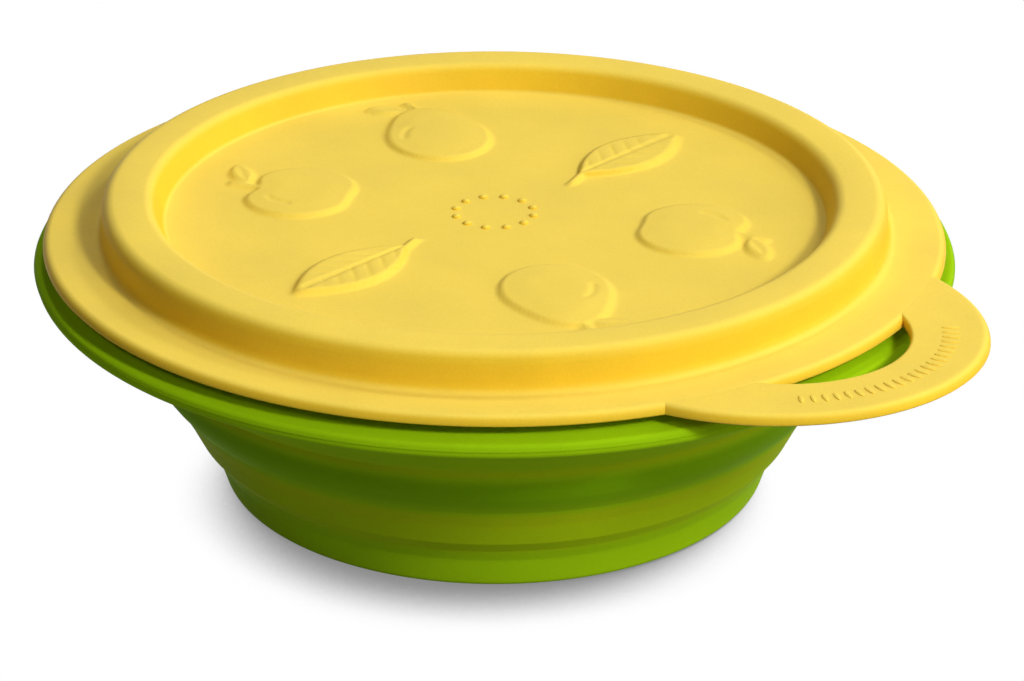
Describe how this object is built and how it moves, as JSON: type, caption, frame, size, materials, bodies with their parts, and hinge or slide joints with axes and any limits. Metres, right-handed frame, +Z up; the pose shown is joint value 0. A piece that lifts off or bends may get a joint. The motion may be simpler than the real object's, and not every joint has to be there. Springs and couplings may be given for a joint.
{
  "type": "collapsible food container",
  "caption": "Round silicone food bowl whose wall folds down flat, with a thick rim, a press-in lid with a raised ridge and sunk panel, and a pull tab with a finger slot.",
  "frame": {"origin": "centre of the bowl's flat underside, on the table it stands on", "axes": "+Z up along the bowl's axis, +X towards the lid's pull tab, +Y to the left of the tab seen from the axis"},
  "size_m": [0.1672, 0.15, 0.0493],
  "materials": {
    "bowl_silicone": "satin",
    "lid_silicone": "satin"
  },
  "bodies": {
    "base": {"bowl_floor": "bowl_silicone", "lower_wall": "bowl_silicone"},
    "middle": {"middle_wall": "bowl_silicone"},
    "rim": {"upper_wall": "bowl_silicone", "rim_ring": "bowl_silicone"},
    "lid": {"lid_plug": "lid_silicone", "lid_flange": "lid_silicone", "lid_ridge": "lid_silicone", "lid_panel": "lid_silicone"},
    "tab": {"pull_tab": "lid_silicone"}
  },
  "joints": [
    {"name": "collapse", "type": "slide", "parent": "base", "child": "rim", "axis": [0, 0, -1], "range_m": [0, 0.02]},
    {"name": "middle_fold", "type": "slide", "parent": "base", "child": "middle", "axis": [0, 0, -1], "range_m": [0, 0.01]},
    {"name": "lid_lift", "type": "slide", "parent": "rim", "child": "lid", "axis": [0, 0, 1], "range_m": [0, 0.06]},
    {"name": "tab_bend", "type": "hinge", "parent": "lid", "child": "tab", "pos_m": [0.07266, 0, 0.0421], "axis": [0, -1, 0], "range_deg": [-10, 75], "stiffness_Nm_per_rad": 0.05}
  ],
  "couplings": [
    {"joint": "middle_fold", "follows": "collapse", "ratio": 0.5}
  ]
}
